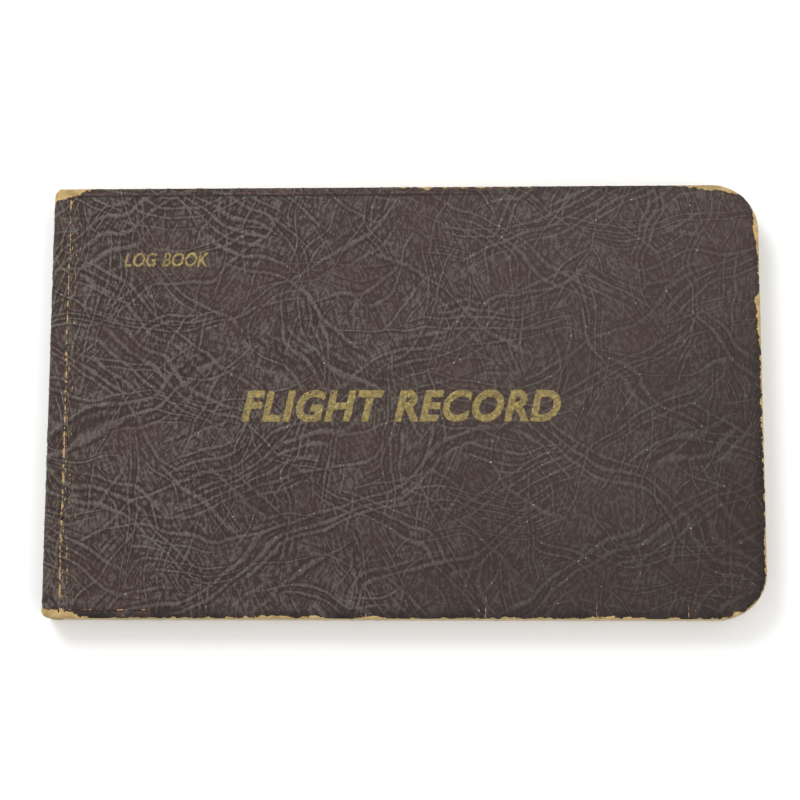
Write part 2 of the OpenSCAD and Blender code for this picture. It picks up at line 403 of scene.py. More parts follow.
def leatherette_material(sizes):
    """Leatherette: paper stock with a brown coating, pressed between crinkled rollers.

    The ridges look greyer, partly from rubbing and partly from a painted highlight, and a little glossier
    than the reddish valleys. Where the coating is gone the tan stock shows, with a ragged border and a
    painted shadow line along the torn coating. Head and tail are bent down in a band, grimy towards the
    edge.
    """
    material, tree, shader = new_material("crinkled_leatherette")
    place = sheet_place(tree)
    creases, wrinkles = crinkle(tree, place)
    parts = add(tree, "SeparateXYZ", (place,))
    along, across = parts.outputs[0], parts.outputs[1]
    speck = add(tree, "TexNoise", {"Vector": place, "Scale": per(0.55), "Detail": 2.0, "Roughness": 0.6},
                **FLAT)
    speck = add(tree, "Math", (speck, 0.30, -0.15), **TIMES_PLUS)
    high = add(tree, "Math", (wrinkles, 0.70, speck), **TIMES_PLUS)
    high = add(tree, "Math", (creases, 0.52, high), **TIMES_PLUS)
    # ridges mixed towards grey by height: rubbed wear and a painted highlight
    rubbed_and_sheen = add(tree, "MapRange", (high, -0.10, 0.90), **SMOOTH)
    coat = add(tree, "Mix", {0: rubbed_and_sheen, 6: sizes.skin_low, 7: sizes.skin_high}, **COLOUR)
    # painted shade in the furrow on each side of a long crease
    furrow_shade = add(tree, "MapRange", (creases, -0.03, -0.24, 0.0, 0.46), **SMOOTH)
    coat = add(tree, "Mix", {0: furrow_shade, 6: coat, 7: linear("#1e1412")}, **COLOUR)
    # smoother away from the hinge, where the skin is bent less
    even = add(tree, "MapRange", (along, 0.04, 0.19, 0.0, 0.32), **SMOOTH)
    middle = tuple(0.5 * (low + high) for low, high in zip(sizes.skin_low, sizes.skin_high))
    coat = add(tree, "Mix", {0: even, 6: coat, 7: middle}, **COLOUR)
    # browner where the finish has faded unevenly
    faded = patches(tree, place, 24, 2.0, (0.42, 0.68, 0.0, 0.34), **FLAT)
    coat = add(tree, "Mix", {0: faded, 6: coat, 7: linear("#402a25")}, **COLOUR)
    # broad soiling and painted shade, darker towards the tail and the fore edge
    cloud = add(tree, "TexNoise", {"Vector": place, "Scale": per(60), "Detail": 3.0}, **FLAT)
    soil_and_shade = add(tree, "Math", (along, 2.2, add(tree, "Math", (cloud, 0.5), **TIMES)), **TIMES_PLUS)
    soil_and_shade = add(tree, "Math", (across, -3.4, soil_and_shade), **TIMES_PLUS)
    soil_and_shade = add(tree, "MapRange", (soil_and_shade, 0.36, 0.98, 0.0, sizes.soil_and_shade), **SMOOTH)
    coat = add(tree, "Mix", {0: soil_and_shade, 6: coat, 7: tuple(c * 0.35 for c in sizes.skin_low)}, **COLOUR)
    # painted highlights: tiny glints, almost white, on the crease ridges
    glint_spots = patches(tree, place, 0.9, 1.0, (0.74, 0.82, 0.0, 0.8), **FLAT)
    painted_glint = add(tree, "Math", (glint_spots, add(tree, "MapRange", (creases, 0.3, 0.8), **SMOOTH)), **TIMES)
    coat = add(tree, "Mix", {0: painted_glint, 6: coat, 7: linear("#b9b2aa")}, **COLOUR)
    # the bent-down band: painted shade along its groove and brown scuffs, long at the head and short at the
    # tail
    side = add(tree, "Math", (HALF_W, add(tree, "Math", (across,), **UNSIGNED)), **MINUS)
    reach = add(tree, "MapRange", (across, -0.01, 0.01, 0.035, 0.13), **SMOOTH)
    reach = add(tree, "MapRange", (add(tree, "Math", (reach, along), **MINUS), -0.03, 0.02), **SMOOTH)
    groove = add(tree, "Math", (add(tree, "Math", (side, 1.08 * sizes.band_w), **MINUS),), **UNSIGNED)
    groove = add(tree, "MapRange", (groove, 0.00045, 0.00008, 0.0, 0.85), **SMOOTH)
    groove = add(tree, "Math", (groove, reach), **TIMES)
    flat = add(tree, "VectorMath", (place, (0.14, 1.0, 1.0)), **TIMES)
    scuff = patches(tree, flat, 0.8, 3.0, (0.48, 0.66, 0.0, 0.75), 0.6, **FLAT)
    within = add(tree, "MapRange", (side, 1.05 * sizes.band_w, 0.9 * sizes.band_w), **SMOOTH)
    scuff = add(tree, "Math", (add(tree, "Math", (scuff, within), **TIMES), reach), **TIMES)
    coat = add(tree, "Mix", {0: scuff, 6: coat, 7: linear("#604738")}, **COLOUR)
    # painted shade: near-black along the groove of the band
    coat = add(tree, "Mix", {0: groove, 6: coat, 7: linear("#1b1311")}, **COLOUR)
    # grime on the outermost millimetres; 'edge' is the distance from the cover's edge
    edge = add(tree, "Attribute", attribute_name="edge").outputs["Fac"]
    grime = patches(tree, place, 11, 3.0, (0.35, 0.62, 0.35, 1.0), **FLAT)
    grime = add(tree, "Math", (grime, add(tree, "MapRange", (edge, 0.0042, 0.0004), **SMOOTH)), **TIMES)
    grime = add(tree, "Math", (grime, add(tree, "MapRange", (across, 0.05, -0.05, 0.4, 1.0), **SMOOTH)),
                **TIMES)
    coat = add(tree, "Mix", {0: grime, 6: coat, 7: linear("#1b1412")}, **COLOUR)
    # bare card: 'wear' is how far inside a worn zone the point lies, in metres
    wear = add(tree, "Attribute", attribute_name="wear").outputs["Fac"]
    jag = add(tree, "TexNoise", {"Vector": place, "Scale": per(2.6), "Detail": 5.0, "Roughness": 0.68}, **FLAT)
    ragged = add(tree, "Math", (jag, 0.0030, add(tree, "Math", (wear, 0.0015), **MINUS)), **TIMES_PLUS)
    bare = add(tree, "MapRange", (ragged, -0.00006, 0.00006), **SMOOTH)
    # painted shadow: a dark line along the torn edge of the coating
    lip_shadow = add(tree, "MapRange", (ragged, -0.00050, -0.00005, 0.0, 0.6), **SMOOTH)
    coat = add(tree, "Mix", {0: lip_shadow, 6: coat, 7: linear("#1f1613")}, **COLOUR)
    cracks = crack_lines(tree, place, along, across, sizes)
    colour = add(tree, "Mix", {0: cracks, 6: coat, 7: linear("#a98a62")}, **COLOUR)
    colour = add(tree, "Mix", {0: bare, 6: colour, 7: card_colour(tree, place, sizes.card)}, **COLOUR)
    bare = add(tree, "Math", (bare, cracks), **LARGER)
    gloss = add(tree, "MapRange", (high, 0.2, 1.0, 0.56, 0.40), **SMOOTH)
    relief = add(tree, "Math", (bare, add(tree, "Math", (high, 0.6), **PLUS)), **TIMES)
    relief = add(tree, "Math", (high, relief), **MINUS)
    fill(tree, shader, {"Base Color": colour, "Roughness": add(tree, "Math", (bare, 0.35, gloss), **TIMES_PLUS),
                        "Normal": add(tree, "Bump", {"Height": relief, "Distance": 0.00022, "Strength": 0.9}),
                        "IOR": 1.5, "Specular IOR Level": 0.25})
    return material


def card_material(sizes):
    """Solid tan card: dense grey-free pulp board, mottled and fibrous."""
    material, tree, shader = new_material("tan_pulp_card")
    place = add(tree, "Attribute", attribute_name="sheet").outputs["Vector"]
    colour = card_colour(tree, place, sizes.card)
    fill(tree, shader, {"Base Color": colour})
    fibre = add(tree, "TexNoise", {"Vector": place, "Scale": per(0.4), "Detail": 3.0})
    bump = add(tree, "Bump", {"Height": fibre, "Distance": 0.00008, "Strength": 0.6})
    fill(tree, shader, {"Normal": bump.outputs[0]})
    shader.inputs["Roughness"].default_value = 0.9
    return material


def paper_material(name, sizes, ruled):
    """Ledger or lining paper: uncoated, gone cream, browner towards its edges, with a few foxed spots.

    Ruled leaves carry printed lines: a head rule, entry rows, and column rules. 'tone' differs from leaf
    to leaf, so that the cut edges of a closed block show as streaks.
    """
    material, tree, shader = new_material(name)
    place = sheet_place(tree)
    parts = add(tree, "SeparateXYZ", (place,))
    along, across = parts.outputs[0], parts.outputs[1]
    cloud = add(tree, "TexNoise", {"Vector": place, "Scale": per(22), "Detail": 5.0, "Roughness": 0.6})
    paper = tuple(sizes.paper)
    brown = (paper[0] * 0.72, paper[1] * 0.60, paper[2] * 0.40)
    # distance in from the trimmed outline with its rounded corners
    beyond_x = add(tree, "Math", (along, FRONT_X - BACK_X - FORE_R), **MINUS)
    beyond_y = add(tree, "Math", (add(tree, "Math", (across,), **UNSIGNED), HALF_W - FORE_R), **MINUS)
    beyond = add(tree, "VectorMath", (add(tree, "CombineXYZ", (beyond_x, beyond_y)), (0, 0, 0)), **LARGER)
    beyond = add(tree, "VectorMath", (beyond,), operation="LENGTH").outputs["Value"]
    within = add(tree, "Math", (add(tree, "Math", (beyond_x, beyond_y), **LARGER), 0.0), operation="MINIMUM")
    rim = add(tree, "Math", (FORE_R - SQUARE_W, add(tree, "Math", (beyond, within), **PLUS)), **MINUS)
    edge = add(tree, "Math", (cloud, 0.012, add(tree, "Math", (rim, 0.006), **MINUS)), **TIMES_PLUS)
    browned = add(tree, "MapRange", (edge, 0.011, -0.001, 0.0, 0.55), **SMOOTH)
    colour = add(tree, "Mix", {0: browned, 6: paper, 7: brown}, **COLOUR)
    # handled edges: grime on the last half millimetre, uneven along the book and from leaf to leaf
    tone = add(tree, "Attribute", attribute_name="tone").outputs["Fac"]
    smear = add(tree, "TexNoise", {"Vector": place, "W": tone, "Scale": per(9), "Detail": 3.0},
                noise_dimensions="4D")
    smear = add(tree, "Math", (tone, 0.55, smear), **TIMES_PLUS)
    dirt = add(tree, "MapRange", (smear, 0.45, 1.05, 0.02, 0.85), **SMOOTH)
    dirt = add(tree, "Math", (dirt, add(tree, "MapRange", (rim, 0.0014, 0.0006), **SMOOTH)), **TIMES)
    colour = add(tree, "Mix", {0: dirt, 6: colour, 7: linear("#7d6846")}, **COLOUR)
    spots = add(tree, "TexVoronoi", {"Vector": place, "Scale": per(15)},
                voronoi_dimensions="2D").outputs["Distance"]
    spots = add(tree, "Math", (cloud, 0.25, spots), **TIMES_PLUS)
    spots = add(tree, "MapRange", (spots, 0.16, 0.11, 0.0, 0.40), **SMOOTH)
    colour = add(tree, "Mix", {0: spots, 6: colour, 7: linear("#a97f4a")}, **COLOUR)
    if ruled:
        head = HALF_W - 0.024
        foot = add(tree, "Math", (across, 0.012 - HALF_W), operation="GREATER_THAN")
        row = add(tree, "Math", (add(tree, "Math", (across, head), **MINUS), sizes.row_h / 2),
                  operation="PINGPONG")
        lines = add(tree, "MapRange", (row, 0.00016, 0.00008), **SMOOTH)
        lines = add(tree, "Math", (lines, add(tree, "Math", (across, head + 0.0001), operation="LESS_THAN")),
                    **TIMES)
        columns = None
        for x_mm in (22, 46, 72, 98, 104, 118, 132, 146, 160, 174, 202):
            gap = add(tree, "Math", (add(tree, "Math", (along, x_mm * MM), **MINUS),), **UNSIGNED)
            rule = add(tree, "MapRange", (gap, 0.00016, 0.00008), **SMOOTH)
            columns = rule if columns is None else add(tree, "Math", (columns, rule), **LARGER)
        below = add(tree, "Math", (across, head + 0.010), operation="LESS_THAN")
        columns = add(tree, "Math", (columns, below), **TIMES)
        lines = add(tree, "Math", (add(tree, "Math", (lines, columns), **LARGER), foot), **TIMES)
        heads = add(tree, "Math", (add(tree, "Math", (across, head + 0.010), **MINUS),), **UNSIGNED)
        heads = add(tree, "MapRange", (heads, 0.0003, 0.00018), **SMOOTH)
        lines = add(tree, "Math", (lines, heads), **LARGER)
        for limit, test in ((0.012, "GREATER_THAN"), (0.208, "LESS_THAN")):
            lines = add(tree, "Math", (lines, add(tree, "Math", (along, limit), operation=test)), **TIMES)
        printed = add(tree, "Math", (lines, 0.75), **TIMES)
        colour = add(tree, "Mix", {0: printed, 6: colour, 7: sizes.ruling}, **COLOUR)
    tooth = add(tree, "TexNoise", {"Vector": place, "Scale": per(0.6), "Detail": 3.0})
    fill(tree, shader, {"Base Color": colour, "Roughness": 0.85,
                        "Normal": add(tree, "Bump", {"Height": tooth, "Distance": 0.00003, "Strength": 0.5})})
    return material


def pressed_margin_material(sizes):
    """Stack of clamped ledger paper seen edge on: fine level lines, one for each leaf."""
    material, tree, shader = new_material("pressed_paper_edges")
    place = add(tree, "TexCoord").outputs["Object"]
    flat = add(tree, "VectorMath", {0: place, 1: (0.03, 0.03, 1.0)}, **TIMES)
    layer = add(tree, "TexNoise", {"Vector": flat, "Scale": per(0.105), "Detail": 2.0})
    paper = tuple(sizes.paper)
    dark = (paper[0] * 0.55, paper[1] * 0.45, paper[2] * 0.30)
    colour = add(tree, "Mix", {0: add(tree, "MapRange", (layer, 0.35, 0.65), **SMOOTH), 6: dark,
                               7: tuple(c * 0.9 for c in paper)}, **COLOUR)
    fill(tree, shader, {"Base Color": colour, "Roughness": 0.88,
                        "Normal": add(tree, "Bump", {"Height": layer, "Distance": 0.00004, "Strength": 0.6})})
    return material


def cloth_material():
    """Starched open-weave binding cloth: square mesh of dull threads, 0.5 mm apart."""
    material, tree, shader = new_material("starched_binding_cloth")
    place = add(tree, "TexCoord").outputs["Object"]
    parts = add(tree, "SeparateXYZ", {0: place})
    threads = add(tree, "Math", (add(tree, "Math", (parts.outputs[1], 0.00025), operation="PINGPONG"),
                                 add(tree, "Math", (parts.outputs[2], 0.00025), operation="PINGPONG")),
                  **LARGER)
    weave = add(tree, "MapRange", (threads, 0.00010, 0.00024), **SMOOTH)
    colour = add(tree, "Mix", {0: weave, 6: linear("#8d7b58"), 7: linear("#d6cbad")}, **COLOUR)
    fill(tree, shader, {"Base Color": colour, "Roughness": 0.92,
                        "Normal": add(tree, "Bump", {"Height": weave, "Distance": 0.00005, "Strength": 0.8})})
    return material


def glue_material():
    """Dried animal glue: amber, translucent-looking and slightly glossy, brushed on unevenly."""
    material, tree, shader = new_material("dried_binding_glue")
    place = add(tree, "TexCoord").outputs["Object"]
    cloud = add(tree, "TexNoise", {"Vector": place, "Scale": per(1.8), "Detail": 4.0})
    colour = add(tree, "Mix", {0: add(tree, "MapRange", (cloud, 0.35, 0.7), **SMOOTH), 6: linear("#a9823f"),
                               7: linear("#dcc588")}, **COLOUR)
    fill(tree, shader, {"Base Color": colour, "Roughness": add(tree, "MapRange", (cloud, 0.3, 0.7, 0.25, 0.5),
                                                               **SMOOTH)})
    return material


def wire_material():
    """Tinned steel stitching wire: drawn, so it has fine lengthwise lines, and has dulled to grey."""
    material, tree, shader = new_material("tinned_steel_wire")
    place = add(tree, "TexCoord").outputs["Object"]
    dull = add(tree, "TexNoise", {"Vector": place, "Scale": per(1.2), "Detail": 4.0})
    colour = add(tree, "Mix", {0: add(tree, "MapRange", (dull, 0.4, 0.7), **SMOOTH), 6: linear("#b9bbbd"),
                               7: linear("#8b7f70")}, **COLOUR)
    fill(tree, shader, {"Base Color": colour, "Metallic": 1.0,
                        "Roughness": add(tree, "MapRange", (dull, 0.3, 0.7, 0.28, 0.5), **SMOOTH)})
    return material


def foil_material(sizes):
    """Hot-stamped gold foil: dull, rubbed thin on the high grain, brighter in the hollows."""
    material, tree, shader = new_material("stamped_gold_foil")
    place = sheet_place(tree)
    creases, wrinkles = crinkle(tree, place)
    rub = add(tree, "TexNoise", {"Vector": place, "Scale": per(1.3), "Detail": 5.0, "Roughness": 0.7}, **FLAT)
    gold = tuple(sizes.foil)
    worn = add(tree, "MapRange", (rub, 0.36, 0.58), **SMOOTH)
    colour = add(tree, "Mix", {0: worn, 6: tuple(c * 0.72 for c in gold), 7: gold}, **COLOUR)
    fresh = add(tree, "MapRange", (wrinkles, 0.75, 0.25, 0.0, 0.8), **SMOOTH)
    fresh = add(tree, "Math", (fresh, add(tree, "MapRange", (rub, 0.50, 0.64), **SMOOTH)), **TIMES)
    colour = add(tree, "Mix", {0: fresh, 6: colour, 7: (gold[0] * 1.5, gold[1] * 1.66, gold[2] * 1.2)},
                 **COLOUR)
    lost = add(tree, "MapRange", (add(tree, "Math", (wrinkles, 0.10, rub), **TIMES_PLUS), 0.42, 0.36, 0.0, 0.8),
               **SMOOTH)
    colour = add(tree, "Mix", {0: lost, 6: colour, 7: linear("#54453c")}, **COLOUR)
    grain = add(tree, "Math", (wrinkles, creases), **PLUS)
    fill(tree, shader, {"Base Color": colour, "Metallic": 0.3, "Roughness": 0.5,
                        "Normal": add(tree, "Bump", {"Height": grain, "Distance": 0.0001, "Strength": 0.6})})
    return material


# ---------------------------------------------------------------- mesh helpers

def link(obj):
    """Puts an object in the scene."""
    bpy.context.scene.collection.objects.link(obj)
    return obj


def half_width(x, inset, sizes):
    """Half the height of the page outline at x, with its rounded corners."""
    corner = sizes.fore_r - inset
    spine = max(sizes.spine_corner_r - inset, 0.00001)
    half = HALF_W - inset
    x1 = FRONT_X - inset
    x0 = BACK_X + inset
    if x > x1 - corner:
        return half - corner + math.sqrt(max(0.0, corner ** 2 - (x - x1 + corner) ** 2))
    if x < x0 + spine:
        return half - spine + math.sqrt(max(0.0, spine ** 2 - (x0 + spine - x) ** 2))
    return half


def fore_steps(x0, x1, corner, step, arc_steps):
    """X values from x0 to the fore edge x1, closer together in the hinge's bend and round the corner."""
    flat_end = x1 - corner
    count = max(2, round((flat_end - x0) / step))
    xs = [x0 + (flat_end - x0) * i / count for i in range(1, count + 1)]
    xs = [x for x in xs if not BEND_X <= x <= BEND_X + BEND_W]
    xs += [x for x in (BEND_X + BEND_W * i / 12 for i in range(13)) if x > x0 + 0.00005]
    xs = [x0] + sorted(xs)
    xs += [flat_end + corner * math.sin(math.pi / 2 * i / arc_steps) for i in range(1, arc_steps + 1)]
    return xs


def wrap_section(depth, sizes, step, arc_steps):
    """Section of one layer of the wrap: (x, z, place along the sheet, nx, nz), underside to fore edge.

    depth is how far the layer's face lies inside the book's outer face.
    """
    r = max(sizes.fold_r - depth, 0.0003)
    x0 = BACK_X + depth
    cx = x0 + r
    points = []
    around = math.pi * sizes.fold_r / 2
    side = BOOK_T - 2 * sizes.fold_r
    low_start = sizes.fold_r - 2 * around - side
    for i in range(6):
        t = i / 6
        x = BEND_X + (cx - BEND_X) * t
        points.append((x, depth, low_start - (x - cx), 0.0, -1.0))
    for i in range(9):
        a = math.pi / 2 * i / 8
        points.append((cx - r * math.sin(a), depth + r - r * math.cos(a), low_start + around * i / 8,
                       -math.sin(a), -math.cos(a)))
    for i in range(1, 9):
        z = depth + r + (BOOK_T - 2 * depth - 2 * r) * i / 9
        points.append((x0, z, low_start + around + side * i / 9, -1.0, 0.0))
    for i in range(9):
        a = math.pi / 2 * i / 8
        points.append((cx - r * math.cos(a), BOOK_T - depth - r + r * math.sin(a),
                       low_start + around + side + around * i / 8, -math.cos(a), math.sin(a)))
    for x in fore_steps(cx, FRONT_X, sizes.fore_r, step, arc_steps)[1:]:
        points.append((x, BOOK_T - depth, x - BACK_X, 0.0, 1.0))
    return points


def flat_section(z, x0, sizes, step, arc_steps, up, inset=0.0):
    """Section of one flat face of a cover or leaf."""
    normal = 1.0 if up else -1.0
    xs = fore_steps(x0, FRONT_X - inset, sizes.fore_r - inset, step, arc_steps)
    return [(x, z, x - BACK_X, 0.0, normal) for x in xs]


def sheet_mesh(name, outer, inner, rows, sizes, inset=0.0, shape=None):
    """Closed sheet between two matching sections, with rows across the page on its outer face.

    Stores 'sheet' (place on the unfolded sheet), 'outer' (1 on the outer face) and 'edge' (distance in
    from the outline) on the points. The hidden inner face is made of long strips.
    """
    verts, places, outers, edges = [], [], [], []
    columns = len(outer)
    for x, z, along, nx, nz in outer:
        half = half_width(x, inset, sizes)
        for j in range(rows + 1):
            y = half * (2 * j / rows - 1)
            edge = min(half - abs(y), FRONT_X - inset - x)
            corner = sizes.fore_r - inset
            dx = x - (FRONT_X - inset - corner)
            dy = abs(y) - (HALF_W - inset - corner)
            if dx > 0 and dy > 0:
                edge = corner - math.hypot(dx, dy)
            move = shape(x, y, z, edge) if shape else 0.0
            verts.append((x + nx * move, y, z + nz * move))
            places.append((along, y, 0.0))
            outers.append(1.0)
            edges.append(max(0.0, edge))
    first_inner = len(verts)
    for x, z, along, nx, nz in inner:
        half = half_width(x, inset, sizes)
        for y in (-half, half):
            verts.append((x, y, z))
            places.append((along, y, 0.001))
            outers.append(0.0)
            edges.append(0.0)
    faces = []
    span = rows + 1
    for i in range(columns - 1):
        for j in range(rows):
            a = i * span + j
            faces.append((a, a + span, a + span + 1, a + 1))
        low, low_next = first_inner + 2 * i, first_inner + 2 * i + 2
        faces.append((low, low + 1, low_next + 1, low_next))
        faces.append((i * span, low, low_next, (i + 1) * span))
        faces.append(((i + 1) * span + rows, low_next + 1, low + 1, i * span + rows))
    faces.append(tuple([first_inner] + list(range(0, span)) + [first_inner + 1]))
    last = (columns - 1) * span
    end = first_inner + 2 * (columns - 1)
    faces.append(tuple([end + 1] + list(range(last + rows, last - 1, -1)) + [end]))
    mesh = bpy.data.meshes.new(name)
    mesh.from_pydata(verts, [], faces)
    mesh.update()
    for title, kind, values, key in (("sheet", "FLOAT_VECTOR", places, "vector"),
                                     ("outer", "FLOAT", outers, "value"), ("edge", "FLOAT", edges, "value")):
        layer = mesh.attributes.new(title, kind, "POINT")
        flat = [c for v in values for c in v] if key == "vector" else values
        layer.data.foreach_set(key, flat)
    mesh.polygons.foreach_set("use_smooth", [False] * len(mesh.polygons))
    return mesh


def smooth_faces(mesh):
    """Shades smooth every face of four points, which leaves the two end faces flat."""
    flags = [len(p.vertices) == 4 for p in mesh.polygons]
    mesh.polygons.foreach_set("use_smooth", flags)
    mesh.update()


def orient(mesh):
    """Turns every face outwards."""
    import bmesh
    work = bmesh.new()
    work.from_mesh(mesh)
    bmesh.ops.recalc_face_normals(work, faces=work.faces)
    if work.calc_volume(signed=True) < 0:
        bmesh.ops.reverse_faces(work, faces=work.faces)
    work.to_mesh(mesh)
    work.free()


def apply_tree(obj, tree, values):
    """Runs a geometry tree on an object and keeps only the plain mesh that it makes."""
    modifier = obj.modifiers.new("shape", "NODES")
    modifier.node_group = tree
    for item in tree.interface.items_tree:
        if item.item_type == "SOCKET" and item.in_out == "INPUT" and item.name in values:
            modifier[item.identifier] = values[item.name]
    graph = bpy.context.evaluated_depsgraph_get()
    graph.update()
    mesh = bpy.data.meshes.new_from_object(obj.evaluated_get(graph), preserve_all_data_layers=True,
                                           depsgraph=graph)
    obj.modifiers.remove(modifier)
    old = obj.data
    obj.data = mesh
    mesh.name = obj.name
    if isinstance(old, bpy.types.Mesh):
        bpy.data.meshes.remove(old)
    return obj


def new_tree(name, inputs):
    """Empty geometry tree with a geometry input and output and further named inputs."""
    tree = bpy.data.node_groups.new(name, "GeometryNodeTree")
    tree.interface.new_socket("Geometry", in_out="INPUT", socket_type="NodeSocketGeometry")
    for title, kind in inputs:
        tree.interface.new_socket(title, in_out="INPUT", socket_type=kind)
    tree.interface.new_socket("Geometry", in_out="OUTPUT", socket_type="NodeSocketGeometry")
    return tree, add(tree, "NodeGroupInput"), add(tree, "NodeGroupOutput")


def close_tree(tree, source, start, end):
    """Ends a tree in Realize Instances and Set Material."""
    real = add(tree, "GeometryNodeRealizeInstances", {0: source})
    done = add(tree, "GeometryNodeSetMaterial", {"Geometry": real.outputs[0],
                                                 "Material": start.outputs["Material"]})
    fill(tree, end, {0: done.outputs[0]})


def crease_tree():
    """Raises the long creases of the skin above its ground."""
    tree, start, end = new_tree("pressed_creases", [("Relief", "NodeSocketFloat"),
                                                    ("Material", "NodeSocketMaterial")])
    place = add(tree, "GeometryNodeInputNamedAttribute", {"Name": "sheet"}, data_type="FLOAT_VECTOR")
    outer = add(tree, "GeometryNodeInputNamedAttribute", {"Name": "outer"}, data_type="FLOAT")
    creases = crinkle(tree, place)[0]
    rise = add(tree, "Math", (creases, 0.35), **MINUS)
    rise = add(tree, "Math", (add(tree, "Math", (rise, outer), **TIMES), start.outputs["Relief"]), **TIMES)
    normal = add(tree, "GeometryNodeInputNormal")
    offset = add(tree, "VectorMath", {0: normal, "Scale": rise}, operation="SCALE")
    moved = add(tree, "GeometryNodeSetPosition", {"Geometry": start.outputs["Geometry"], "Offset": offset})
    close_tree(tree, moved.outputs[0], start, end)
    return tree


# ---------------------------------------------------------------- wear, in the closed book's frame

# (x, y, reach along x, reach along y, width of bare card), millimetres from the cover's centre
WORN_PLACES = (
    (-106, 65, 5.5, 6, 4.4), (-105, -65, 7, 4, 3.5), (-101.5, -62.5, 0.9, 3.2, 3.8), (-108, -60, 1.5, 5, 2.2),
    (97, 66, 8, 5, 2.5), (104, 61.5, 2.4, 2.2, -1.2), (108, 52.5, 4, 7, 2.2), (108, 30.2, 3, 1.3, 3.2),
    (108, 24, 4, 7, 2.0), (108, 41, 3, 8, 1.1), (108, 0, 4, 40, 1.1), (108, -48, 4, 12, 1.3),
    (100, -64, 14, 5, 1.25), (98.8, -65, 1.0, 1.5, 2.2), (-60, -66, 40, 1.6, 0.95), (-39, -66, 7, 2, 1.7),
    (-27, -66, 4, 2, 1.6), (-9, -66, 5, 2, 1.4), (25, -66, 30, 1.6, 1.0), (62, -66, 9, 2, 1.5),
    (81, -66, 2, 2, 1.3), (7, 66, 2.5, 2, 1.6), (20, 66, 16, 2, 1.1), (0, 66, 1.2, 2, 1.4),
)


def wear_at(x, y, edge):
    """How far a point lies inside a worn zone; negative where the skin is whole.

    A place with a negative width is a flap of skin that has stayed on.
    """
    width, kept = 0.0003, 0.0
    for cx, cy, rx, ry, bare in WORN_PLACES:
        near = ((x / MM - cx) / rx) ** 2 + ((y / MM - cy) / ry) ** 2
        share = bare * MM * math.exp(-0.5 * near)
        width, kept = max(width, share), min(kept, share)
    return max(WHOLE_SKIN, width + kept - edge - 0.0007)


def store_wear(mesh, front):
    """Writes the 'wear' attribute from the rest position of each point."""
    mesh.attributes.new("wear", "FLOAT", "POINT")
    layer = mesh.attributes["wear"]
    edges = mesh.attributes["edge"].data
    outers = mesh.attributes["outer"].data
    values = []
    for i, vert in enumerate(mesh.vertices):
        x, y = vert.co[:2]
        if outers[i].value < 0.5:
            values.append(WHOLE_SKIN)
        elif front:
            values.append(wear_at(x, y, edges[i].value))
        else:
            values.append(wear_at(x, -y, edges[i].value))
    layer.data.foreach_set("value", values)


def cover_shape(sizes, front):
    """Small true relief of a cover: bent-down head and tail bands, eased edges, sunk hinge crease."""
    def move(x, y, z, edge):
        down = 0.0
        on_cover = x > BACK_X + sizes.fold_r and (z > BOOK_T / 2) == front
        if on_cover:
            side = HALF_W - abs(y)
            if side < sizes.band_w:
                down += 0.00016 * (1 - side / sizes.band_w) ** 1.5
            groove = (side - sizes.band_w * 1.08) / 0.00045
            down += 0.00006 * math.exp(-groove * groove)
            if edge < 0.0006:
                down += 0.00010 * (1 - edge / 0.0006) ** 2
            crease = (x - HINGE_X) / 0.0008
            down += 0.00016 * math.exp(-crease * crease)
        return -min(down, MAX_SINK)
    return move


# ---------------------------------------------------------------- operators

class LOGBOOK_OT_covers(bpy.types.Operator):
    """Make the leatherette, card and lining of both covers and the spine"""
    bl_idname = "logbook.covers"
    bl_label = "Covers"

    def execute(self, context):
        sizes = context.scene.logbook_cover
        leaf = context.scene.logbook_leaf
        skin = leatherette_material(sizes)
        card = card_material(sizes)
        lining = paper_material("aged_lining_paper", leaf, False)
        rows = round(2 * HALF_W / sizes.grid)
        creases = crease_tree()

        skin_step = {"sizes": sizes, "step": sizes.grid, "arc_steps": SKIN_ARC}
        pieces = []
        for side, sections, nodes in (
                ("front", [wrap_section(z, **skin_step) for z in (0.0, SKIN_T)], ("spine_skin", "front_skin")),
                ("back", [flat_section(z, BEND_X, up=False, **skin_step) for z in (0.0, SKIN_T)],
                 ("back_skin",))):
            name = side + "_leatherette"
            mesh = sheet_mesh(name, *sections, rows, sizes, shape=cover_shape(sizes, side == "front"))
            orient(mesh)
            smooth_faces(mesh)
            piece = link(bpy.data.objects.new(name, mesh))
            store_wear(mesh, side == "front")
            apply_tree(piece, creases, {"Relief": sizes.crease_relief, "Material": skin})
            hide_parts(*nodes)
            pieces.append(piece)

        deep = SKIN_T + CARD_T
        plain = {"sizes": sizes, "step": PLAIN_STEP, "arc_steps": PLAIN_ARC}
        layers = [("front_card", [wrap_section(z, **plain) for z in (SKIN_T, deep)],
                   ("spine_board", "front_board"), "tan_card", card),
                  ("back_card", [flat_section(z, BEND_X, up=False, **plain) for z in (SKIN_T, deep)],
                   ("back_board",), "tan_card", card)]
        for side, up, faces in (("front", True, (BOOK_T - deep, BOOK_T - deep - LINING_T)),
                                ("back", False, (deep, deep + LINING_T))):
            layers.append((side + "_lining", [flat_section(z, LINING_X, up=up, **plain) for z in faces],
                           (side + "_pastedown",), "lining_paper", lining))
        for name, (outer, inner), nodes, slot, material in layers:
            mesh = sheet_mesh(name, outer, inner, 40, sizes)
            orient(mesh)
            mesh.materials.append(material)
            piece = link(bpy.data.objects.new(name, mesh))
            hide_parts(*nodes)
            pieces.append(piece)
        for piece in pieces:
            side = piece.name.split("_")[0]
            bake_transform(piece)
        return {"FINISHED"}


